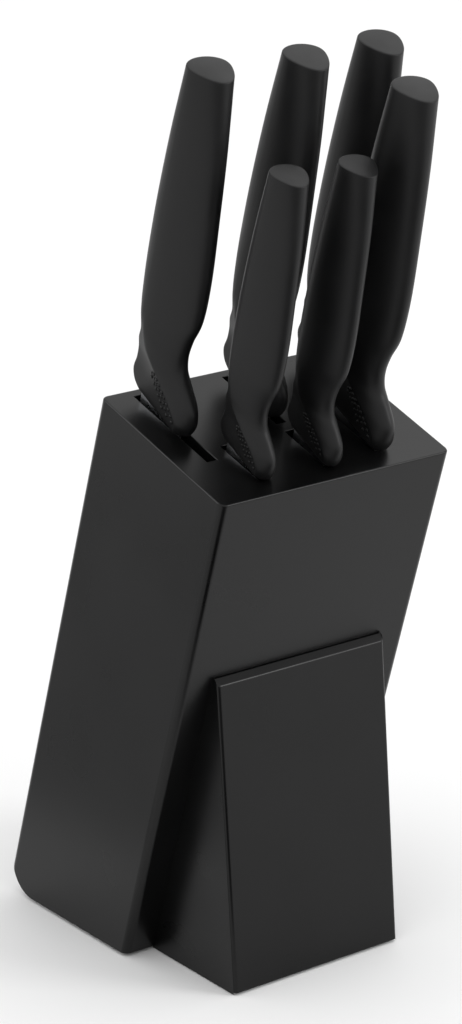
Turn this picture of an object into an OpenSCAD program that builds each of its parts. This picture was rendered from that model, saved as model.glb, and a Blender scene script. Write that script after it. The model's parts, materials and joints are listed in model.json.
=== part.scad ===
// Leaning knife block with a wedge-shaped front foot and six loose knives.
// The origin is on the standing surface, at the middle of the block's front bottom edge.
// X runs across the block, Y runs from the front to the rear and Z runs up.
// Millimetres.

/* [Block] */
// Width of the block
block_w = 105; // [100:1:112]
// Depth of the block, square to its leaning front face
block_d = 76; // [75:1:84]
// Length of the front face, from the bottom edge to the top edge
block_l = 205; // [203:1:215]
// Forward lean of the block, in degrees
lean = 17.1; // [14:0.1:19]
// Radius of the four long edges
edge_r = 3; // [1:0.5:6]
// Radius of the rear bottom edge
heel_r = 12.5; // [4:0.5:16]
// Thickness of the anti-slip pads
pad_t = 1; // [0.5:0.25:2]

/* [Wedge foot] */
// Width of the wedge foot
wedge_w = 78; // [70:1:84]
// Length of the foot on the standing surface
wedge_toe = 51; // [40:1:60]
// Height of the foot, measured along the block's front face
wedge_l = 127; // [100:1:140]
// Depth of the slanting strip on top of the foot
wedge_top = 3; // [2:0.5:5]
// Drop of that strip towards the front
wedge_drop = 2.5; // [0:0.5:4]
// Radius of the foot's two front edges
wedge_r = 1.5; // [1:0.5:3]

/* [Slots] */
// Width of every slot
slot_w = 4.4; // [4.2:0.1:4.8]
// Depth of the three rear slots, along the block
rear_slot_depth = 206; // [204:1:207]
// Depth of the three front slots, along the block
front_slot_depth = 198; // [196:1:200]
// Distance of the outer rear slots from the middle
rear_slot_x = 38; // [37.7:0.1:38.6]
// Distance of the outer front slots from the middle
front_slot_x = 27; // [26.5:0.1:27.3]
// Offset of the middle pair of slots
middle_slot_x = 2.2; // [0:0.1:4]

/* [Knives] */
// Thickness of the four large blades
large_blade_t = 2; // [1.6:0.1:2.2]
// Thickness of the two small blades
small_blade_t = 1.6; // [1.2:0.1:1.8]
// Size of a small handle, as a share of a large one
small_handle = 0.83; // [0.75:0.01:0.85]
// Gap between a seated handle and the block
seat_gap = 0.3; // [0.2:0.05:0.6]

/* [Hidden] */
$fn = 64;

PAINT = [0.06, 0.06, 0.065];
SOFT_BLACK = [0.12, 0.12, 0.125];
STEEL = [0.72, 0.73, 0.75];
BEECH = [0.78, 0.62, 0.42];
RUBBER = [0.2, 0.2, 0.2];

// Where each slot starts and ends behind the front face
rear_slot = [26, 72];
bread_slot = [38, 72];
small_slot = [9, 33];
carving_slot = [10.5, 39.2];

// Edges of the wooden layers across the block
half_w = block_w / 2;
half_slot = slot_w / 2;
over = 20;

// Each kind of knife: [slot middle in X, front end of the handle behind the front face,
// handle size, forward lean in its slot, blade thickness, blade length, blade depth,
// power of the edge's curve, share of the depth that the spine drops, power of that drop]
CHEF = [-rear_slot_x, 40.5, 1, 0, large_blade_t, 198, 38.5, 3.2, 0.25, 2.5];
BREAD = [middle_slot_x, 39.8, 1, 0.5, large_blade_t, 186, 28, 12, 0.25, 4];
SANTOKU = [rear_slot_x, 41, 1, 0, large_blade_t, 176, 38.5, 5, 0.85, 7];
CARVING = [front_slot_x, 7.4, 1, 0, large_blade_t, 180, 25, 5, 0.2, 3];
UTILITY = [-front_slot_x, 7, small_handle, 0, small_blade_t, 124, 20, 3.5, 0.25, 3];
PARING = [middle_slot_x, 5.5, small_handle, 0, small_blade_t, 86, 18, 2.4, 0.2, 3];

// Blade spine behind the front end of a full-size handle, and the heel below the block's top
spine_n = 29.5;
heel_drop = 5;
edge_t = 0.3;
blade_steps = 40;

// Outline of a full-size handle, from its blade end to its butt. Each row is one slanting cut:
// [rear n, rear h, front n, front h, crease place, crease half width, ridge place, ridge half width]
// n is measured towards the rear, h away from the block, and places run 0 to 1 front to rear.
// The first row is the rim on the block, the third the guard's tip, the seventh the deepest
// point of the finger notch, the tenth the belly and the last the butt.
HANDLE_ROWS = [
    [29,   5,     2.5,  0,     0.10, 3.6, 0.95, 3.4],
    [32.5, 8,     0.5,  1,     0.12, 4.6, 0.95, 3.8],
    [34.5, 12,    -1,   5,     0.15, 5.2, 0.94, 4.0],
    [33.5, 17,    -0.5, 10.5,  0.33, 5.8, 0.94, 4.2],
    [33,   22,    4,    16,    0.53, 6.3, 0.93, 4.8],
    [32.5, 27,    8.5,  20.5,  0.68, 7.0, 0.92, 6.0],
    [31.5, 32.5,  10.5, 26.5,  0.76, 8.0, 0.86, 7.5],
    [33.5, 39,    9.5,  34,    0.72, 8.6, 0.78, 8.6],
    [35.5, 47,    6.5,  44,    0.70, 9.0, 0.74, 9.0],
    [37,   62,    6.5,  60,    0.68, 9.2, 0.71, 9.2],
    [37.5, 84,    9,    82.5,  0.67, 9.2, 0.70, 9.2],
    [37,   110,   12.5, 108.5, 0.66, 9.0, 0.68, 9.0],
    [35,   135.5, 17.5, 134,   0.64, 8.8, 0.66, 8.8]
];
row_steps = 2;
belly_steps = 6;
flank_steps = 2;
crown_steps = 4;

// The tang is a flat bar inside the handle, and the blade's root is let into the bolster
tang_front = 13;
tang_rear = 26;
tang_top = 104;
root_front = 5;
root_rise = 2.4;

// Dowels between the wedge foot and the block
dowel_r = 4;
dowel_x = 14;
dowel_heights = [28, 72];
dowel_in_block = 16;
dowel_in_wedge = 12;

pad_r = 6;
pad_places = [[-36, 12], [36, 12], [-36, 58], [36, 58], [-27, -40], [27, -40]];

// Turns the upright frame forward, about the block's front bottom edge
module leaning() {
    translate([0, 0, pad_t]) rotate([lean, 0, 0]) children();
}

// Side view of the block, with a level bottom, a square top and a rounded rear bottom edge
module side_profile() {
    foot = block_d / cos(lean);
    reach = heel_r / tan((90 - lean) / 2);
    rear_x = foot - reach * sin(lean);
    union() {
        polygon([
            [0, 0],
            [foot - reach, 0],
            [foot - reach, heel_r],
            [rear_x, reach * cos(lean)],
            [block_d * cos(lean) - block_l * sin(lean), block_d * sin(lean) + block_l * cos(lean)],
            [-block_l * sin(lean), block_l * cos(lean)]
        ]);
        translate([foot - reach, heel_r]) circle(r = heel_r);
    }
}

// The side view drawn out across the block from x0 to x1
module layer(x0, x1) {
    translate([x0, 0, pad_t]) rotate([90, 0, 90]) linear_extrude(height = x1 - x0) side_profile();
}

// Part of a layer between n0 and n1 behind the front face and s0 and s1 along the block
module strip(x, n0, n1, s0, s1) {
    intersection() {
        layer(x - half_slot, x + half_slot);
        leaning() translate([-block_w, n0, s0]) cube([2 * block_w, n1 - n0, s1 - s0]);
    }
}

module front_strip(x, slot) {
    color(PAINT) strip(x, -over, slot[0], -over, block_l + over);
}

module rear_strip(x, slot) {
    color(PAINT) strip(x, slot[1], block_d + over, -3 * over, block_l + over);
}

// Wood between the paring slot and the bread slot behind it
module middle_slot_divider() {
    color(PAINT) strip(middle_slot_x, small_slot[1], bread_slot[0], -3 * over, block_l + over);
}

module slot_floor(x, slot, depth) {
    color(PAINT) strip(x, slot[0], slot[1], -3 * over, block_l - depth);
}

// Plan of a cheek: a board with its two outer corners rounded
module cheek_plan(t) {
    translate([edge_r, 0]) square([t - edge_r, block_d]);
    translate([0, edge_r]) square([t, block_d - 2 * edge_r]);
    for (n = [edge_r, block_d - edge_r]) translate([edge_r, n]) circle(r = edge_r);
}

module left_cheek() {
    t = half_w - rear_slot_x - half_slot;
    color(PAINT) intersection() {
        layer(-half_w - 1, -half_w + t);
        leaning() translate([-half_w, 0, -3 * over]) linear_extrude(height = block_l + 4 * over)
            cheek_plan(t);
    }
}

module right_cheek() {
    color(PAINT) mirror([1, 0, 0]) left_cheek();
}

module left_inner_board() {
    color(PAINT) layer(-rear_slot_x + half_slot, -front_slot_x - half_slot);
}

module right_inner_board() {
    color(PAINT) layer(front_slot_x + half_slot, rear_slot_x - half_slot);
}

// The holes for the dowels, square to the front face
module dowel_set(r) {
    leaning() for (x = [-dowel_x, dowel_x]) for (s = dowel_heights)
        translate([x, -dowel_in_wedge, s]) rotate([-90, 0, 0])
            cylinder(r = r, h = dowel_in_wedge + dowel_in_block);
}

module left_centre_board() {
    color(PAINT) difference() {
        layer(-front_slot_x + half_slot, middle_slot_x - half_slot);
        dowel_set(dowel_r);
    }
}

module right_centre_board() {
    color(PAINT) difference() {
        layer(middle_slot_x + half_slot, front_slot_x - half_slot);
        dowel_set(dowel_r);
    }
}

// Front face of the foot leans back by this angle from upright
top_y = -wedge_l * sin(lean) - wedge_top;
top_z = wedge_l * cos(lean);
face_lean = atan((top_y + wedge_toe) / (top_z - wedge_drop));

module wedge_plan() {
    translate([-wedge_w / 2, wedge_r]) square([wedge_w, 2 * wedge_toe]);
    translate([-wedge_w / 2 + wedge_r, 0]) square([wedge_w - 2 * wedge_r, wedge_toe]);
    for (x = [-1, 1]) translate([x * (wedge_w / 2 - wedge_r), wedge_r]) circle(r = wedge_r);
}

module wedge_foot() {
    color(PAINT) difference() {
        intersection() {
            translate([-wedge_w, 0, pad_t]) rotate([90, 0, 90]) linear_extrude(height = 2 * wedge_w)
                polygon([[0, 0], [-wedge_l * sin(lean), top_z], [top_y, top_z - wedge_drop], [-wedge_toe, 0]]);
            translate([0, -wedge_toe, pad_t]) rotate([-face_lean, 0, 0]) translate([0, 0, -over])
                linear_extrude(height = wedge_l + 2 * over) wedge_plan();
        }
        dowel_set(dowel_r);
    }
}

module wedge_dowels() {
    color(BEECH) dowel_set(dowel_r);
}

module anti_slip_pads() {
    color(RUBBER) for (p = pad_places) translate([p[0], p[1], 0]) cylinder(r = pad_r, h = pad_t);
}

// Puts a knife in its slot. Its own frame is X across, Y to the rear and Z out of the block,
// from the front end of its handle at the block's top.
module seated(knife) {
    leaning() translate([knife[0], knife[1], block_l + seat_gap]) rotate([knife[3], 0, 0])
        children();
}

// Smooth curve through the handle's rows
function blend_rows(a, b, c, d, t) =
    0.5 * (2 * b + (c - a) * t + (2 * a - 5 * b + 4 * c - d) * t * t
    + (3 * b - a - 3 * c + d) * t * t * t);
function handle_row(k) =
    let (last = len(HANDLE_ROWS) - 1)
    let (i = min(floor(k / row_steps), last - 1))
    blend_rows(HANDLE_ROWS[max(i - 1, 0)], HANDLE_ROWS[i], HANDLE_ROWS[i + 1],
        HANDLE_ROWS[min(i + 2, last)], k / row_steps - i);

// Half of a cut through the handle, as [place front to rear, half width]
function half_cut(r) = concat(
    [for (i = [0:belly_steps]) let (a = 90 * i / belly_steps)
        [r[4] * (1 + sin(a) * sin(a) - cos(a)) / 2, r[5] * sin(a)]],
    [for (i = [1:flank_steps]) let (f = i / flank_steps)
        [r[4] + (r[6] - r[4]) * f, r[5] + (r[7] - r[5]) * f]],
    [for (i = [1:crown_steps]) let (a = 90 * i / crown_steps)
        [r[6] + (1 - r[6]) * sin(a), r[7] * cos(a)]]
);
function cut_point(r, q, w) = [w, r[2] + (r[0] - r[2]) * q, r[3] + (r[1] - r[3]) * q];
function handle_ring(r) =
    let (half = half_cut(r), n = len(half))
    concat(
        [for (p = half) cut_point(r, p[0], p[1])],
        [for (i = [n - 2:-1:1]) cut_point(r, half[i][0], -half[i][1])]
    );

module handle_shape() {
    rings = row_steps * (len(HANDLE_ROWS) - 1);
    points = [for (k = [0:rings]) each handle_ring(handle_row(k))];
    n = len(handle_ring(HANDLE_ROWS[0]));
    sides = [for (k = [0:rings - 1]) for (j = [0:n - 1])
        let (a = k * n + j, b = k * n + (j + 1) % n)
        each [[a, a + n, b + n], [a, b + n, b]]];
    bottom = [[for (j = [0:n - 1]) j]];
    top = [[for (j = [n - 1:-1:0]) rings * n + j]];
    polyhedron(points = points, faces = concat(sides, bottom, top));
}

// A flat plate in the plane of the blade
module plate(t) {
    translate([-t / 2, 0, 0]) rotate([90, 0, 90]) linear_extrude(height = t) children();
}

// Side view of the tang and of the blade's root inside the bolster
module tang_profile(size) {
    rear = spine_n * size;
    front = root_front * size;
    polygon([
        [front, -heel_drop],
        [front, 0.9 * size + root_rise],
        [tang_front * size, 2.4 * size + root_rise],
        [tang_front * size, tang_top * size],
        [tang_rear * size, tang_top * size],
        [tang_rear * size, 4.8 * size + root_rise],
        [rear, 5.2 * size + root_rise],
        [rear, -heel_drop]
    ]);
}

// Side view of the blade below the block's top. The edge and the spine meet at the tip.
module blade_profile(knife) {
    long = knife[5] - heel_drop;
    rear = spine_n * knife[2];
    tip = knife[8];
    edge = [for (i = [0:blade_steps]) let (d = i / blade_steps)
        [rear - knife[6] * (1 - (1 - tip) * pow(d, knife[7])), -heel_drop - long * d]];
    spine = [for (i = [blade_steps - 1:-1:0]) let (d = i / blade_steps)
        [rear - knife[6] * tip * pow(d, knife[9]), -heel_drop - long * d]];
    polygon(concat(edge, spine));
}

// Both faces of the blade are ground from a third of its depth to a thin edge
module grind(knife) {
    rear = spine_n * knife[2];
    half = knife[4] / 2;
    translate([0, 0, -knife[5] - over]) linear_extrude(height = knife[5] + over)
        polygon([
            [-half, rear + 1],
            [-half, rear - knife[6] / 3],
            [-edge_t / 2, rear - knife[6] - 1],
            [edge_t / 2, rear - knife[6] - 1],
            [half, rear - knife[6] / 3],
            [half, rear + 1]
        ]);
}

module scallops(knife) {
    pitch = 8;
    edge_n = spine_n * knife[2] - knife[6];
    for (i = [1:floor(knife[5] / pitch) - 4])
        translate([-2, edge_n - 4.2, -heel_drop - pitch * i]) rotate([0, 90, 0]) cylinder(r = 5, h = 4);
}

module blade(knife) {
    color(STEEL) seated(knife) union() {
        plate(knife[4]) tang_profile(knife[2]);
        intersection() {
            plate(knife[4]) blade_profile(knife);
            grind(knife);
        }
    }
}

module serrated_blade(knife) {
    color(STEEL) seated(knife) union() {
        plate(knife[4]) tang_profile(knife[2]);
        difference() {
            intersection() {
                plate(knife[4]) blade_profile(knife);
                grind(knife);
            }
            scallops(knife);
        }
    }
}

module handle(knife) {
    color(SOFT_BLACK) seated(knife) difference() {
        scale(knife[2]) handle_shape();
        plate(knife[4]) tang_profile(knife[2]);
    }
}

left_cheek();
left_inner_board();
left_centre_board();
right_centre_board();
right_inner_board();
right_cheek();
front_strip(-rear_slot_x, rear_slot);  // chef_slot_front_strip
rear_strip(-rear_slot_x, rear_slot);  // chef_slot_rear_strip
slot_floor(-rear_slot_x, rear_slot, rear_slot_depth);  // chef_slot_floor
front_strip(-front_slot_x, small_slot);  // utility_slot_front_strip
rear_strip(-front_slot_x, small_slot);  // utility_slot_rear_strip
slot_floor(-front_slot_x, small_slot, front_slot_depth);  // utility_slot_floor
front_strip(middle_slot_x, small_slot);  // paring_slot_front_strip
middle_slot_divider();
rear_strip(middle_slot_x, bread_slot);  // bread_slot_rear_strip
slot_floor(middle_slot_x, small_slot, front_slot_depth);  // paring_slot_floor
slot_floor(middle_slot_x, bread_slot, rear_slot_depth);  // bread_slot_floor
front_strip(front_slot_x, carving_slot);  // carving_slot_front_strip
rear_strip(front_slot_x, carving_slot);  // carving_slot_rear_strip
slot_floor(front_slot_x, carving_slot, front_slot_depth);  // carving_slot_floor
front_strip(rear_slot_x, rear_slot);  // santoku_slot_front_strip
rear_strip(rear_slot_x, rear_slot);  // santoku_slot_rear_strip
slot_floor(rear_slot_x, rear_slot, rear_slot_depth);  // santoku_slot_floor
wedge_foot();
wedge_dowels();
anti_slip_pads();
blade(CHEF);  // chef_blade
handle(CHEF);  // chef_handle
serrated_blade(BREAD);  // bread_blade
handle(BREAD);  // bread_handle
blade(SANTOKU);  // santoku_blade
handle(SANTOKU);  // santoku_handle
blade(CARVING);  // carving_blade
handle(CARVING);  // carving_handle
blade(UTILITY);  // utility_blade
handle(UTILITY);  // utility_handle
blade(PARING);  // paring_blade
handle(PARING);  // paring_handle
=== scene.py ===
# Looks of a leaning knife block with a wedge-shaped foot and six loose knives.
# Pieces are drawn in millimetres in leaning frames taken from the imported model, then set in metres.

import json
import math
from collections import namedtuple

import bmesh
import bpy
from mathutils import Matrix, Vector


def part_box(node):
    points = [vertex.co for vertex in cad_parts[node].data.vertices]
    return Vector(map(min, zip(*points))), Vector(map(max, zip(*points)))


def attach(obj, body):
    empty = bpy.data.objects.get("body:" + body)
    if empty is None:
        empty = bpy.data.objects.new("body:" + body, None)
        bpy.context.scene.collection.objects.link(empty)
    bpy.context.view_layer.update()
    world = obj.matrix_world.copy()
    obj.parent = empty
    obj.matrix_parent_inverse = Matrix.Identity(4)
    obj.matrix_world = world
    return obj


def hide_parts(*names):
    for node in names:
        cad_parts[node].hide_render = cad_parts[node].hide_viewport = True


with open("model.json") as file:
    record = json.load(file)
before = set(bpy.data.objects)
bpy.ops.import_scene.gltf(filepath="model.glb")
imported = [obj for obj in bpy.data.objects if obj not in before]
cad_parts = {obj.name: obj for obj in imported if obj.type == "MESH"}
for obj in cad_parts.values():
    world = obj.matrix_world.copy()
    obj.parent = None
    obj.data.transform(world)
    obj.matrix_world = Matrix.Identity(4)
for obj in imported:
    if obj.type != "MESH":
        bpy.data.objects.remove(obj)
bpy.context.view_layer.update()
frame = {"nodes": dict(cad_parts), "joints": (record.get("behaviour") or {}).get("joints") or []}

MM = 0.001
SHARP = math.radians(32)


# ---------------------------------------------------------------- places taken from the frame

def joint_lean(joint):
    """Forward lean of a slide joint's axis."""
    axis = next(j["axis"] for j in frame["joints"] if j["name"] == joint)
    return math.atan2(-axis[1], axis[2])


def leaning(lean, origin):
    """Millimetre frame with X across, Y to the rear and Z out along the lean."""
    return Matrix.Translation(origin) @ Matrix.Rotation(lean, 4, "X") @ Matrix.Scale(MM, 4)


def span(node, place):
    """Lowest and highest corner of a CAD node, measured in the frame that place sets up."""
    back = place.inverted()
    points = [back @ v.co for v in frame["nodes"][node].data.vertices]
    low = Vector([min(p[i] for p in points) for i in range(3)])
    high = Vector([max(p[i] for p in points) for i in range(3)])
    return low, high


LEAN = joint_lean("chef_pull")
STANDING = Vector((0, 0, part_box("anti_slip_pads")[1].z))
BLOCK = leaning(LEAN, STANDING)
UPRIGHT = leaning(0, STANDING)

cheek_low, cheek_high = span("left_cheek", BLOCK)
HALF_WIDTH = -cheek_low.x
DEPTH = cheek_high.y
LENGTH = cheek_high.z


# ---------------------------------------------------------------- mesh helpers

def add_ring(bm, points):
    return [bm.verts.new(p) for p in points]


def bridge(bm, a, b, closed=True):
    """Quads between two rings or rows of the same length."""
    last = len(a) if closed else len(a) - 1
    for i in range(last):
        j = (i + 1) % len(a)
        bm.faces.new((a[i], a[j], b[j], b[i]))


def ring_edges(bm, ring):
    return [bm.edges.get((ring[i - 1], ring[i])) for i in range(len(ring))]


def ring_normal(points):
    """Normal of a closed ring of points, by Newell's method."""
    total = Vector()
    for a, b in zip(points, points[1:] + points[:1]):
        total += a.cross(b)
    return total.normalized()


def inset_ring(points, distance):
    """The ring's points moved inwards in its own plane."""
    normal = ring_normal(points)
    count = len(points)
    moved = []
    for i, p in enumerate(points):
        tangent = points[(i + 1) % count] - points[i - 1]
        moved.append(p + normal.cross(tangent).normalized() * distance)
    return moved


def add_cap(bm, ring, shares, crown):
    """Closes a ring with smaller rings towards its middle, raised by crown at the middle."""
    points = [v.co.copy() for v in ring]
    middle = sum(points, Vector()) / len(points)
    normal = ring_normal(points)
    outer = ring
    for share in shares:
        rise = normal * crown * (1 - share * share)
        inner = add_ring(bm, [middle + (p - middle) * share + rise for p in points])
        bridge(bm, outer, inner)
        outer = inner
    top = bm.verts.new(middle + normal * crown)
    for a, b in zip(outer, outer[1:] + outer[:1]):
        bm.faces.new((a, b, top))


def finish_mesh(name, bm, place, crisp=()):
    """Turns a millimetre bmesh into a metre mesh with smooth faces and sharp creases."""
    bmesh.ops.recalc_face_normals(bm, faces=bm.faces)
    for face in bm.faces:
        face.smooth = True
    for edge in bm.edges:
        edge.smooth = edge.calc_face_angle(0) < SHARP
    for edge in crisp:
        edge.smooth = False
    bm.transform(place)
    mesh = bpy.data.meshes.new(name)
    bm.to_mesh(mesh)
    bm.free()
    return mesh


def add_piece(name, mesh, material, body, replaced=()):
    mesh.materials.append(material)
    piece = bpy.data.objects.new(name, mesh)
    bpy.context.scene.collection.objects.link(piece)
    even = piece.modifiers.new("even_normals", "WEIGHTED_NORMAL")
    even.keep_sharp = True
    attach(piece, body)
    if replaced:
        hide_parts(*replaced)
    return piece


# ---------------------------------------------------------------- painted block

EDGE_R = 3.0
HEEL_R = 12.5
TOP_ROUND = 0.7
MOUTH_ROUND = 0.35
BASE_CHAMFER = 0.5
CORNER_STEPS = 10
ROUND_STEPS = 4
HEEL_STEP = math.radians(6)
HEEL_STEPS = 30
STATION_GAP_FRONT = 1.0
STATION_GAP_REAR = 0.3

HEEL_N = DEPTH - HEEL_R
HEEL_S = (HEEL_R - HEEL_N * math.sin(LEAN)) / math.cos(LEAN)
HEEL_START = HEEL_N - HEEL_R * math.sin(LEAN)

# Each slot: the nodes in front of it and behind it, and its floor
SLOTS = [
    ("chef_slot_front_strip", "chef_slot_rear_strip", "chef_slot_floor"),
    ("utility_slot_front_strip", "utility_slot_rear_strip", "utility_slot_floor"),
    ("paring_slot_front_strip", "middle_slot_divider", "paring_slot_floor"),
    ("middle_slot_divider", "bread_slot_rear_strip", "bread_slot_floor"),
    ("carving_slot_front_strip", "carving_slot_rear_strip", "carving_slot_floor"),
    ("santoku_slot_front_strip", "santoku_slot_rear_strip", "santoku_slot_floor"),
]
BOARDS = [
    "left_cheek", "left_inner_board", "left_centre_board",
    "right_centre_board", "right_inner_board", "right_cheek",
]


def underside(n):
    """Where the block's underside lies along the lean, n behind the front face."""
    if n <= HEEL_START:
        return -n * math.tan(LEAN)
    return HEEL_S - math.sqrt(max(0, HEEL_R ** 2 - (n - HEEL_N) ** 2))


def side_stations():
    """Places behind the front face where the underside bends, between the rounded edges."""
    angles = [-math.pi / 2 - LEAN + i * HEEL_STEP for i in range(HEEL_STEPS)]
    bends = [HEEL_N + HEEL_R * math.cos(a) for a in angles if a < 0]
    first = EDGE_R + STATION_GAP_FRONT
    last = DEPTH - EDGE_R - STATION_GAP_REAR
    return [n for n in bends if first < n < last]


def half_plan(inset):
    """Right half of the block's plan, from the front edge to the rear edge."""
    middle = HALF_WIDTH - EDGE_R
    r = EDGE_R - inset
    turns = [math.pi / 2 * i / CORNER_STEPS for i in range(CORNER_STEPS + 1)]
    front = [(middle + r * math.sin(t), EDGE_R - r * math.cos(t)) for t in turns]
    side = [(HALF_WIDTH - inset, n) for n in side_stations()]
    rear = [(middle + r * math.cos(t), DEPTH - EDGE_R + r * math.sin(t)) for t in turns]
    return front + side + rear


def plan(inset):
    right = half_plan(inset)
    return right + [(-x, n) for x, n in reversed(right)]


def round_over(radius):
    """Steps of a quarter round, as pairs of distance in and height below the top."""
    turns = [math.pi / 2 * i / ROUND_STEPS for i in range(ROUND_STEPS + 1)]
    return [(radius * (1 - math.cos(t)), radius * (1 - math.sin(t))) for t in turns]


def slot_box(front, rear, floor):
    """x and n limits of a slot and the height of its floor."""
    low, high = span(front, BLOCK)
    return low.x, high.x, high.y, span(rear, BLOCK)[0].y, span(floor, BLOCK)[1].z


def add_slot(bm, box):
    """A slot's floor, walls and eased mouth. Returns the ring at the block's top."""
    x0, x1, n0, n1, floor = box

    def corners(out, s):
        return [Vector(p) for p in (
            (x0 - out, n0 - out, s), (x1 + out, n0 - out, s),
            (x1 + out, n1 + out, s), (x0 - out, n1 + out, s))]

    ring = add_ring(bm, corners(0, floor))
    bm.faces.new(ring)
    for out, drop in round_over(MOUTH_ROUND):
        above = add_ring(bm, corners(out, LENGTH - drop))
        bridge(bm, ring, above)
        ring = above
    return ring


def block_mesh():
    bm = bmesh.new()
    base = add_ring(bm, [(x, n, underside(n)) for x, n in plan(BASE_CHAMFER)])
    half = len(base) // 2
    bridge(bm, base[:half], base[:half - 1:-1], closed=False)
    ring = add_ring(bm, [(x, n, underside(n) + BASE_CHAMFER) for x, n in plan(0)])
    bridge(bm, base, ring)
    for inset, drop in round_over(TOP_ROUND):
        above = add_ring(bm, [(x, n, LENGTH - drop) for x, n in plan(inset)])
        bridge(bm, ring, above)
        ring = above
    rims = [ring] + [add_slot(bm, slot_box(*nodes)) for nodes in SLOTS]
    edges = [edge for rim in rims for edge in ring_edges(bm, rim)]
    bmesh.ops.triangle_fill(bm, use_beauty=True, use_dissolve=False, edges=edges,
                            normal=(0, 0, 1))
    return finish_mesh("painted_block", bm, BLOCK)


def add_block(paint):
    wood = BOARDS + sorted({node for nodes in SLOTS for node in nodes})
    return add_piece("painted_block", block_mesh(), paint, "block", wood)


# ---------------------------------------------------------------- wedge foot

WEDGE_FRONT_R = 1.5
WEDGE_FRONT_STEPS = 6
WEDGE_EASE = 0.5
WEDGE_EASE_STEPS = 3
WEDGE_UPPER = 0.9


def wedge_corners():
    """Side view of the foot: rear bottom, front bottom, front top and rear top."""
    low, high = span("wedge_foot", UPRIGHT)
    back = UPRIGHT.inverted()
    points = [back @ v.co for v in frame["nodes"]["wedge_foot"].data.vertices]
    upper = [p for p in points if p.z > WEDGE_UPPER * high.z]
    front = min(upper, key=lambda p: p.y)
    rear = max(upper, key=lambda p: (round(p.z, 2), p.y))
    return high.x, [(high.y, 0), (low.y, 0), (front.y, front.z), (rear.y, rear.z)]


def round_edges(bm, edges, radius, steps):
    bmesh.ops.bevel(bm, geom=edges, offset=radius, segments=steps, profile=0.5,
                    affect="EDGES", clamp_overlap=False)


def wedge_mesh():
    half, side = wedge_corners()
    bm = bmesh.new()
    left = add_ring(bm, [(-half, y, z) for y, z in side])
    right = add_ring(bm, [(half, y, z) for y, z in side])
    bridge(bm, left, right)
    bm.faces.new(left)
    bm.faces.new(right[::-1])
    front = [bm.edges.get((ring[1], ring[2])) for ring in (left, right)]
    round_edges(bm, front, WEDGE_FRONT_R, WEDGE_FRONT_STEPS)
    rest = [e for e in bm.edges if e.calc_face_angle(0) > SHARP]
    round_edges(bm, rest, WEDGE_EASE, WEDGE_EASE_STEPS)
    return finish_mesh("painted_wedge", bm, UPRIGHT)


# ---------------------------------------------------------------- handles

# A full-size handle's slanting cuts, from its blade end to its butt:
# rear n and h, front n and h, crease place and half width, ridge place and half width
HANDLE_ROWS = [
    (29, 5, 2.5, 0, 0.10, 3.6, 0.95, 3.4),
    (32.5, 8, 0.5, 1, 0.12, 4.6, 0.95, 3.8),
    (34.5, 12, -1, 5, 0.15, 5.2, 0.94, 4.0),
    (33.5, 17, -0.5, 10.5, 0.33, 5.8, 0.94, 4.2),
    (33, 22, 4, 16, 0.53, 6.3, 0.93, 4.8),
    (32.5, 27, 8.5, 20.5, 0.68, 7.0, 0.92, 6.0),
    (31.5, 32.5, 10.5, 26.5, 0.76, 8.0, 0.86, 7.5),
    (33.5, 39, 9.5, 34, 0.72, 8.6, 0.78, 8.6),
    (35.5, 47, 6.5, 44, 0.70, 9.0, 0.74, 9.0),
    (37, 62, 6.5, 60, 0.68, 9.2, 0.71, 9.2),
    (37.5, 84, 9, 82.5, 0.67, 9.2, 0.70, 9.2),
    (37, 110, 12.5, 108.5, 0.66, 9.0, 0.68, 9.0),
    (35, 135.5, 17.5, 134, 0.64, 8.8, 0.66, 8.8),
]
HANDLE_L = HANDLE_ROWS[-1][1]
ROW_STEPS = 8
BELLY_STEPS = 14
FLANK_STEPS = 6
CROWN_STEPS = 12

# Eased ends: distance inwards, and how far along the rows it lies from the end
RIM_EASE = [(0.4, 0.0), (0.16, 0.05), (0.04, 0.13), (0.0, 0.24)]
BUTT_EASE = [(0.0, 0.028), (0.06, 0.016), (0.24, 0.006), (0.6, 0.0)]
BUTT_CROWN = 0.3
RIM_RINGS = (0.7, 0.35)
BUTT_RINGS = (0.85, 0.6, 0.35, 0.12)
FIRST_RING = 2

# Raised dots on the guard's flat sides, in columns along the crease. Each column has its start
# and its number of dots. The first lies DOT_INSET from the crease, the others DOT_SPREAD apart.
DOT_R = 0.72
DOT_H = 0.5
DOT_PROFILE = ((1.0, -0.3), (0.92, 0.45), (0.6, 0.85))
DOT_SEGMENTS = 10
DOT_PITCH = 2.3
DOT_COLUMNS = [(4.5, 9), (4.9, 8), (5.3, 6)]
DOT_INSET = 1.7
DOT_SPREAD = 3.5
CREASE_ROWS = 7
CREASE_STEPS = 20


def handle_cut(t):
    """The handle's cut at row t, on a smooth curve through the rows."""
    last = len(HANDLE_ROWS) - 1
    i = min(int(t), last - 1)
    f = t - i
    a, b, c, d = (HANDLE_ROWS[max(0, min(last, i + k))] for k in (-1, 0, 1, 2))
    return [
        0.5 * (2 * q + (r - p) * f + (2 * p - 5 * q + 4 * r - s) * f ** 2
               + (3 * q - p - 3 * r + s) * f ** 3)
        for p, q, r, s in zip(a, b, c, d)
    ]


# The guard's tip, the handle's front end
GUARD_N = min(handle_cut(k / 2)[2] for k in range(2 * len(HANDLE_ROWS) - 1))


def cut_point(cut, place, half_width):
    rear_n, rear_h, front_n, front_h = cut[:4]
    return Vector((half_width, front_n + (rear_n - front_n) * place,
                   front_h + (rear_h - front_h) * place))


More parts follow.
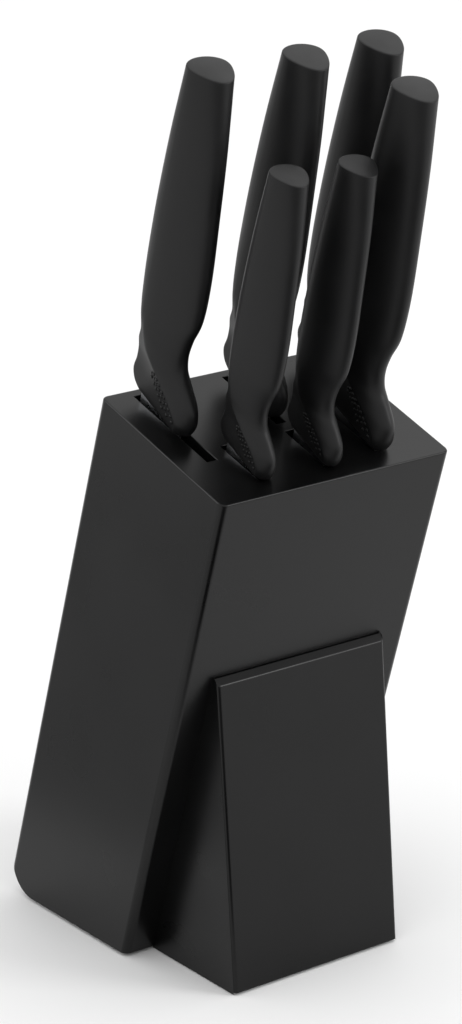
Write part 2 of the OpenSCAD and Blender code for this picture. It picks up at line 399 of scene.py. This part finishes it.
def half_cut(cut):
    """Half of a cut from the belly over the crease and the ridge to the spine."""
    crease, crease_w, ridge, ridge_w = cut[4:]
    points = []
    for i in range(BELLY_STEPS + 1):
        a = math.pi / 2 * i / BELLY_STEPS
        place = crease * (1 + math.sin(a) ** 2 - math.cos(a)) / 2
        points.append((place, crease_w * math.sin(a)))
    for i in range(1, FLANK_STEPS + 1):
        f = i / FLANK_STEPS
        points.append((crease + (ridge - crease) * f, crease_w + (ridge_w - crease_w) * f))
    for i in range(1, CROWN_STEPS + 1):
        a = math.pi / 2 * i / CROWN_STEPS
        points.append((ridge + (1 - ridge) * math.sin(a), ridge_w * math.cos(a)))
    return points


def handle_ring(t):
    cut = handle_cut(t)
    half = half_cut(cut)
    right = [cut_point(cut, q, w) for q, w in half]
    left = [cut_point(cut, q, -w) for q, w in half[-2:0:-1]]
    return right + left


def add_grip(bm):
    last = len(HANDLE_ROWS) - 1
    start = [inset_ring(handle_ring(t), d) for d, t in RIM_EASE]
    end = [inset_ring(handle_ring(last - t), d) for d, t in BUTT_EASE]
    count = last * ROW_STEPS
    middle = [handle_ring(k / ROW_STEPS) for k in range(FIRST_RING, count)]
    rings = [add_ring(bm, points) for points in start + middle + end]
    for a, b in zip(rings, rings[1:]):
        bridge(bm, a, b)
    add_cap(bm, rings[0][::-1], RIM_RINGS, 0)
    add_cap(bm, rings[-1], BUTT_RINGS, BUTT_CROWN)


def crease_walk(side):
    """Points along the crease with the length walked so far and the row they are on."""
    walked, before, steps = 0.0, None, []
    for k in range(CREASE_ROWS * CREASE_STEPS):
        t = k / CREASE_STEPS
        cut = handle_cut(t)
        point = cut_point(cut, cut[4], side * cut[5])
        walked += (point - before).length if before else 0
        steps.append((walked, t, point))
        before = point
    return steps


def add_dot(bm, centre, normal):
    """A low dome on the guard's side, closed underneath."""
    across = normal.orthogonal().normalized()
    along = normal.cross(across)
    outer = None
    for r, h in DOT_PROFILE:
        points = []
        for k in range(DOT_SEGMENTS):
            a = 2 * math.pi * k / DOT_SEGMENTS
            flat = (across * math.cos(a) + along * math.sin(a)) * DOT_R * r
            points.append(centre + flat + normal * DOT_H * h)
        ring = add_ring(bm, points)
        if outer:
            bridge(bm, outer, ring)
        else:
            bm.faces.new(ring[::-1])
        outer = ring
    top = bm.verts.new(centre + normal * DOT_H)
    for a, b in zip(outer, outer[1:] + outer[:1]):
        bm.faces.new((a, b, top))


def add_dots(bm, side):
    steps = crease_walk(side)
    for column, (start, count) in enumerate(DOT_COLUMNS):
        for k in range(count):
            reach = start + DOT_PITCH * k
            _, t, point = next(step for step in steps if step[0] >= reach)
            cut = handle_cut(t)
            inwards = (cut_point(cut, cut[6], side * cut[7]) - point).normalized()
            ahead = handle_cut(t + 0.1)
            tangent = cut_point(ahead, ahead[4], side * ahead[5]) - point
            normal = inwards.cross(tangent).normalized()
            normal *= 1 if normal.x * side > 0 else -1
            add_dot(bm, point + inwards * (DOT_INSET + DOT_SPREAD * column), normal)


def handle_mesh(name, place, size):
    bm = bmesh.new()
    add_grip(bm)
    for side in (-1, 1):
        add_dots(bm, side)
    return finish_mesh(name, bm, place @ Matrix.Scale(size, 4))


# ---------------------------------------------------------------- blades

Blade = namedtuple("Blade", "depth edge_power drop drop_power scalloped")
BLADES = {
    "chef": Blade(38.5, 3.2, 0.25, 2.5, False),
    "bread": Blade(28, 12, 0.25, 4, True),
    "santoku": Blade(38.5, 5, 0.85, 7, False),
    "carving": Blade(25, 5, 0.2, 3, False),
    "utility": Blade(20, 3.5, 0.25, 3, False),
    "paring": Blade(18, 2.4, 0.2, 3, False),
}
SPINE_N = 29.5
HEEL_DROP = 5.0
EDGE_T = 0.3
BEVEL_N = 0.7
SPINE_EASE = 0.35
SPINE_WIDTH = 0.55
EDGE_HALF = 0.02
TIP_TALL = 0.02
SMALL_SHARE = 0.2
GRIND_DROP = 0.25
CRISP_POINTS = (2, 4, 7, 9)
ROOT_FRONT = 5.0
ROOT_TOP = 8.0
ROOT_OVERLAP = 4.0
ROOT_INSET = 0.03
ROOT_EASE = 0.3
BLADE_STEP = 1.0
SCALLOP_PITCH = 8.0
SCALLOP_R = 5.0
SCALLOP_SET = 4.2


def scallop_depth(blade, length, below):
    """How far the edge is cut back below the block's top on a scalloped blade."""
    if not blade.scalloped:
        return 0.0
    number = round((below - HEEL_DROP) / SCALLOP_PITCH)
    if number < 1 or number > int(length / SCALLOP_PITCH) - 4:
        return 0.0
    off = below - HEEL_DROP - number * SCALLOP_PITCH
    return max(0.0, math.sqrt(SCALLOP_R ** 2 - off ** 2) - SCALLOP_SET)


def blade_row(blade, rear, half, length, below):
    """A cut across the blade: points from the spine down to the edge on the +X side."""
    d = (below - HEEL_DROP) / (length - HEEL_DROP)
    spine = rear - blade.depth * blade.drop * d ** blade.drop_power
    edge = rear - blade.depth * (1 - (1 - blade.drop) * d ** blade.edge_power)
    edge += scallop_depth(blade, length, below)
    spine = max(spine, edge + TIP_TALL)
    grind = rear - blade.depth / 3

    def thick(n):
        share = min(1.0, max(0.0, (grind - n) / (blade.depth * 2 / 3 + 1)))
        return half + (EDGE_T / 2 - half) * share

    tall = spine - edge
    small = SMALL_SHARE * tall
    places = [spine - min(SPINE_EASE, small), min(grind, spine - GRIND_DROP * tall),
              (min(grind, spine) + edge) / 2, edge + min(BEVEL_N, small)]
    places = sorted(places, reverse=True)
    body = [(thick(n), n) for n in places]
    return [(SPINE_WIDTH * thick(spine), spine)] + body + [(EDGE_HALF, edge)]


def blade_mesh(name, place, blade, size, thickness, length):
    rear = SPINE_N * size
    half = thickness / 2
    count = int((length - HEEL_DROP) / BLADE_STEP)
    bm = bmesh.new()
    rings = []
    for k in range(count + 1):
        below = HEEL_DROP + (length - HEEL_DROP) * k / count
        row = blade_row(blade, rear, half, length, below)
        right = [Vector((x, n, -below)) for x, n in row]
        left = [Vector((-x, n, -below)) for x, n in reversed(row)]
        rings.append(add_ring(bm, right + left))
    for a, b in zip(rings, rings[1:]):
        bridge(bm, a, b)
    bm.faces.new(rings[0])
    bm.faces.new(rings[-1][::-1])
    crisp = []
    for a, b in zip(rings, rings[1:]):
        for i in CRISP_POINTS:
            crisp.append(bm.edges.get((a[i], b[i])))
    add_root(bm, rear, half - ROOT_INSET, ROOT_FRONT * size)
    return finish_mesh(name, bm, place, crisp)


def add_root(bm, rear, half, front):
    """The part of the blade between its heel and the inside of the handle."""
    narrow = half * SPINE_WIDTH
    inner_front = front + ROOT_EASE
    inner_rear = rear - ROOT_EASE
    side = [(inner_front, half), (inner_rear, half), (rear, narrow), (rear, -narrow),
            (inner_rear, -half), (inner_front, -half), (front, -narrow), (front, narrow)]
    low = add_ring(bm, [(x, n, -HEEL_DROP - ROOT_OVERLAP) for n, x in side])
    high = add_ring(bm, [(x, n, ROOT_TOP) for n, x in side])
    bridge(bm, low, high)
    bm.faces.new(low)
    bm.faces.new(high[::-1])


def add_knife(kind, grip, steel):
    """A knife's handle and blade, set where the CAD handle is."""
    lean = joint_lean(kind + "_pull")
    turned = leaning(lean, STANDING)
    low, high = span(kind + "_handle", turned)
    size = (high.z - low.z) / HANDLE_L
    front = Vector(((low.x + high.x) / 2, low.y - GUARD_N * size, low.z))
    place = leaning(lean, turned @ front)
    blade_low, blade_high = span(kind + "_blade", place)
    body = kind + "_knife"
    add_piece(kind + "_grip", handle_mesh(kind + "_grip", place, size), grip, body,
              [kind + "_handle"])
    mesh = blade_mesh(kind + "_steel", place, BLADES[kind], size,
                      blade_high.x - blade_low.x, -blade_low.z)
    add_piece(kind + "_steel", mesh, steel, body, [kind + "_blade"])


# ---------------------------------------------------------------- pads

PAD_R = 6.0
PAD_PLACES = [(-36, 12), (36, 12), (-36, 58), (36, 58), (-27, -40), (27, -40)]
PAD_ROUND = 0.3
PAD_DISH = 0.15
PAD_SEGMENTS = 40


def pad_mesh():
    """Six thin round pads with eased rims and a shallow dish underneath."""
    top = STANDING.z / MM
    cut = 0.3 * PAD_ROUND
    profile = [(PAD_R, top), (PAD_R, PAD_ROUND), (PAD_R - cut, cut),
               (PAD_R - PAD_ROUND, 0), (0.8 * PAD_R, 0), (0.7 * PAD_R, PAD_DISH)]
    bm = bmesh.new()
    for x, y in PAD_PLACES:
        rings = []
        for r, z in profile:
            turns = [2 * math.pi * k / PAD_SEGMENTS for k in range(PAD_SEGMENTS)]
            points = [(x + r * math.cos(a), y + r * math.sin(a), z) for a in turns]
            rings.append(add_ring(bm, points))
        for a, b in zip(rings, rings[1:]):
            bridge(bm, a, b)
        bm.faces.new(rings[0])
        bm.faces.new(rings[-1][::-1])
    return finish_mesh("rubber_pads", bm, leaning(0, (0, 0, 0)))


# ---------------------------------------------------------------- materials

def add_node(tree, kind, **values):
    """A shader node with its inputs or properties set by name."""
    made = tree.nodes.new(kind)
    for name, value in values.items():
        label = name.replace("_", " ")
        found = [s for s in made.inputs if s.name.lower() == label]
        if found:
            found[0].default_value = value
        else:
            setattr(made, name, value)
    return made


def start_material(name, metal=0.0, specular=0.5):
    material = bpy.data.materials.new(name)
    material.use_nodes = True
    tree = material.node_tree
    shader = tree.nodes["Principled BSDF"]
    shader.inputs["Metallic"].default_value = metal
    shader.inputs["Specular IOR Level"].default_value = specular
    return material, tree, shader


def add_coords(tree, stretch=(1, 1, 1), lean=0.0):
    """Object coordinates, turned into the lean and stretched."""
    coords = tree.nodes.new("ShaderNodeTexCoord")
    turned = add_node(tree, "ShaderNodeMapping", rotation=(-lean, 0, 0))
    scaled = add_node(tree, "ShaderNodeMapping", scale=stretch)
    tree.links.new(coords.outputs["Object"], turned.inputs["Vector"])
    tree.links.new(turned.outputs["Vector"], scaled.inputs["Vector"])
    return scaled.outputs["Vector"]


def add_noise(tree, coords, scale, detail=3.0, roughness=0.5):
    noise = add_node(tree, "ShaderNodeTexNoise", scale=scale, detail=detail,
                     roughness=roughness)
    tree.links.new(coords, noise.inputs["Vector"])
    return noise.outputs["Fac"]


def add_range(tree, value, low, high, from_low=0.3, from_high=0.7):
    """Maps a texture value to a range."""
    mapped = tree.nodes.new("ShaderNodeMapRange")
    for name, number in (("From Min", from_low), ("From Max", from_high),
                         ("To Min", low), ("To Max", high)):
        mapped.inputs[name].default_value = number
    tree.links.new(value, mapped.inputs["Value"])
    return mapped.outputs["Result"]


def add_colours(tree, value, dark, light):
    """Mixes two colours by a texture value."""
    ramp = tree.nodes.new("ShaderNodeValToRGB")
    ramp.color_ramp.elements[0].position = 0.3
    ramp.color_ramp.elements[1].position = 0.7
    ramp.color_ramp.elements[0].color = (*dark, 1)
    ramp.color_ramp.elements[1].color = (*light, 1)
    tree.links.new(value, ramp.inputs["Fac"])
    return ramp.outputs["Color"]


def add_bump(tree, shader, layers):
    """Chains bump layers of (height, strength, distance in metres) into the normal."""
    normal = None
    for height, strength, distance in layers:
        bump = add_node(tree, "ShaderNodeBump", strength=strength, distance=distance)
        tree.links.new(height, bump.inputs["Height"])
        if normal:
            tree.links.new(normal, bump.inputs["Normal"])
        normal = bump.outputs["Normal"]
    tree.links.new(normal, shader.inputs["Normal"])


def paint_material():
    """Satin black paint on wood: fine orange peel over faint grain lines."""
    material, tree, shader = start_material("satin_black_paint", specular=0.26)
    grain = add_noise(tree, add_coords(tree, (900, 900, 22), LEAN), 1.0, 4)
    peel = add_noise(tree, add_coords(tree), 1400, 2)
    cloud = add_noise(tree, add_coords(tree), 28, 3)
    colour = add_colours(tree, cloud, (0.0012, 0.0012, 0.0013), (0.0022, 0.0022, 0.0023))
    tree.links.new(colour, shader.inputs["Base Color"])
    tree.links.new(add_range(tree, cloud, 0.26, 0.33), shader.inputs["Roughness"])
    add_bump(tree, shader, [(grain, 0.12, 0.00005), (peel, 0.25, 0.00004)])
    return material


def grip_material():
    """Soft-touch black plastic with a fine spark-eroded grain."""
    material, tree, shader = start_material("soft_touch_grip", specular=0.28)
    fine = add_noise(tree, add_coords(tree), 3200, 2, 0.6)
    cloud = add_noise(tree, add_coords(tree), 60, 3)
    colour = add_colours(tree, cloud, (0.0032, 0.0032, 0.0034), (0.0050, 0.0050, 0.0052))
    tree.links.new(colour, shader.inputs["Base Color"])
    tree.links.new(add_range(tree, cloud, 0.42, 0.5), shader.inputs["Roughness"])
    add_bump(tree, shader, [(fine, 0.35, 0.00006)])
    return material


def steel_material():
    """Stainless steel with fine grinding lines across the blade."""
    material, tree, shader = start_material("satin_ground_steel", metal=1.0)
    lines = add_noise(tree, add_coords(tree, (300, 60, 5200), LEAN), 1.0, 5, 0.65)
    cloud = add_noise(tree, add_coords(tree), 45, 3)
    colour = add_colours(tree, lines, (0.50, 0.51, 0.53), (0.64, 0.65, 0.67))
    tree.links.new(colour, shader.inputs["Base Color"])
    tree.links.new(add_range(tree, cloud, 0.24, 0.34), shader.inputs["Roughness"])
    add_bump(tree, shader, [(lines, 0.35, 0.00003)])
    return material


def beech_material():
    """Bare turned beech with short dark flecks along the dowel."""
    material, tree, shader = start_material("bare_beech")
    grain = add_noise(tree, add_coords(tree, (700, 40, 700), LEAN), 1.0, 4)
    flecks = add_noise(tree, add_coords(tree, (2600, 260, 2600), LEAN), 1.0, 1)
    colour = add_colours(tree, grain, (0.46, 0.29, 0.15), (0.66, 0.47, 0.28))
    tree.links.new(colour, shader.inputs["Base Color"])
    tree.links.new(add_range(tree, flecks, 0.55, 0.75), shader.inputs["Roughness"])
    add_bump(tree, shader, [(grain, 0.3, 0.0001), (flecks, 0.2, 0.00005)])
    return material


def rubber_material():
    """Dark foam rubber with open pores."""
    material, tree, shader = start_material("pad_rubber", specular=0.3)
    pores = add_noise(tree, add_coords(tree), 2100, 4, 0.7)
    colour = add_colours(tree, pores, (0.016, 0.016, 0.016), (0.036, 0.036, 0.036))
    tree.links.new(colour, shader.inputs["Base Color"])
    tree.links.new(add_range(tree, pores, 0.75, 0.95), shader.inputs["Roughness"])
    add_bump(tree, shader, [(pores, 0.6, 0.0001)])
    return material


def floor_material():
    material, tree, shader = start_material("pale_floor", specular=0.1)
    cloud = add_noise(tree, add_coords(tree), 3, 2)
    tree.links.new(add_colours(tree, cloud, (0.88, 0.88, 0.88), (0.9, 0.9, 0.9)),
                   shader.inputs["Base Color"])
    shader.inputs["Roughness"].default_value = 0.9
    return material


# ---------------------------------------------------------------- stage

FLOOR_HALF = 9.0
FLAG_HEIGHT = 0.002
# Cards that paint darker reflections of the room's sides, seen only in glossy surfaces: name, grey
# and corners
FLAGS = [
    ("camera_side_flag", 0.002, [(-0.1, -0.12), (-1.1, -0.75), (0.1, -1.3), (-0.02, -0.14)]),
    ("left_side_flag", 0.5, [(-0.12, 0.0), (-0.6, 0.42), (-0.35, 0.85), (-0.09, 0.22)]),
]
WORLD_STRENGTH = 1.1

CAMERA_PLACE = (-0.7753, -1.0083, 0.6052)
CAMERA_PITCH = 71.02
CAMERA_ROLL = -0.1
CAMERA_TURN = -37.44
CAMERA_LENS = 127.2


def add_floor():
    bm = bmesh.new()
    corners = [(-1, -1), (1, -1), (1, 1), (-1, 1)]
    bm.faces.new(add_ring(bm, [(x * FLOOR_HALF, y * FLOOR_HALF, 0) for x, y in corners]))
    mesh = bpy.data.meshes.new("floor")
    bm.to_mesh(mesh)
    bm.free()
    mesh.materials.append(floor_material())
    floor = bpy.data.objects.new("floor", mesh)
    bpy.context.scene.collection.objects.link(floor)


def add_softbox(name, place, aim, size, power, fill=True):
    """A square light. Without fill it shows only as a gleam in glossy surfaces."""
    light = bpy.data.lights.new(name, "AREA")
    light.shape = "RECTANGLE"
    light.size, light.size_y = size
    light.energy = power
    lamp = bpy.data.objects.new(name, light)
    lamp.location = place
    lamp.rotation_euler = (Vector(aim) - Vector(place)).to_track_quat("-Z", "Y").to_euler()
    lamp.visible_diffuse = fill
    bpy.context.scene.collection.objects.link(lamp)


def add_flag(name, grey, corners):
    """A card on the floor, seen only in glossy reflections, where its grey paints a darker reflection
    of the room.
    """
    bm = bmesh.new()
    bm.faces.new(add_ring(bm, [(x, y, FLAG_HEIGHT) for x, y in corners]))
    mesh = bpy.data.meshes.new(name)
    bm.to_mesh(mesh)
    bm.free()
    # The card's grey is painted reflection only: it blocks no light and casts no shadow.
    material, _, shader = start_material(name + "_painted_reflection", specular=0.0)
    shader.inputs["Base Color"].default_value = (grey, grey, grey, 1)
    mesh.materials.append(material)
    flag = bpy.data.objects.new(name, mesh)
    flag.visible_camera = False
    flag.visible_diffuse = False
    flag.visible_shadow = False
    bpy.context.scene.collection.objects.link(flag)


def add_world():
    world = bpy.data.worlds.new("studio")
    world.use_nodes = True
    background = world.node_tree.nodes["Background"]
    background.inputs["Color"].default_value = (1, 1, 1, 1)
    background.inputs["Strength"].default_value = WORLD_STRENGTH
    bpy.context.scene.world = world


def add_camera():
    data = bpy.data.cameras.new("camera")
    data.lens = CAMERA_LENS
    camera = bpy.data.objects.new("camera", data)
    camera.location = CAMERA_PLACE
    turns = (CAMERA_PITCH, CAMERA_ROLL, CAMERA_TURN)
    camera.rotation_euler = [math.radians(turn) for turn in turns]
    bpy.context.scene.collection.objects.link(camera)
    bpy.context.scene.camera = camera


def add_stage():
    add_floor()
    for flag in FLAGS:
        add_flag(*flag)
    add_world()
    add_softbox("front_softbox", (1.25, -1.5, 1.15), (0, 0, 0.2), (0.7, 0.7), 12)
    add_softbox("left_softbox", (-1.1, 0.85, 1.7), (0, 0, 0.2), (0.8, 0.8), 9, False)
    add_softbox("rear_softbox", (1.25, 0.5, 2.0), (0, 0, 0.33), (0.6, 0.6), 2.4, False)
    add_camera()
    bpy.context.scene.view_settings.view_transform = "Standard"


# ---------------------------------------------------------------- build

paint = paint_material()
grip = grip_material()
steel = steel_material()

add_block(paint)
add_piece("painted_wedge", wedge_mesh(), paint, "block", ["wedge_foot"])
add_piece("rubber_pads", pad_mesh(), rubber_material(), "block",
          ["anti_slip_pads"])
for kind in BLADES:
    add_knife(kind, grip, steel)

dowels = frame["nodes"]["wedge_dowels"]
dowels.data.materials.clear()
dowels.data.materials.append(beech_material())

add_stage()
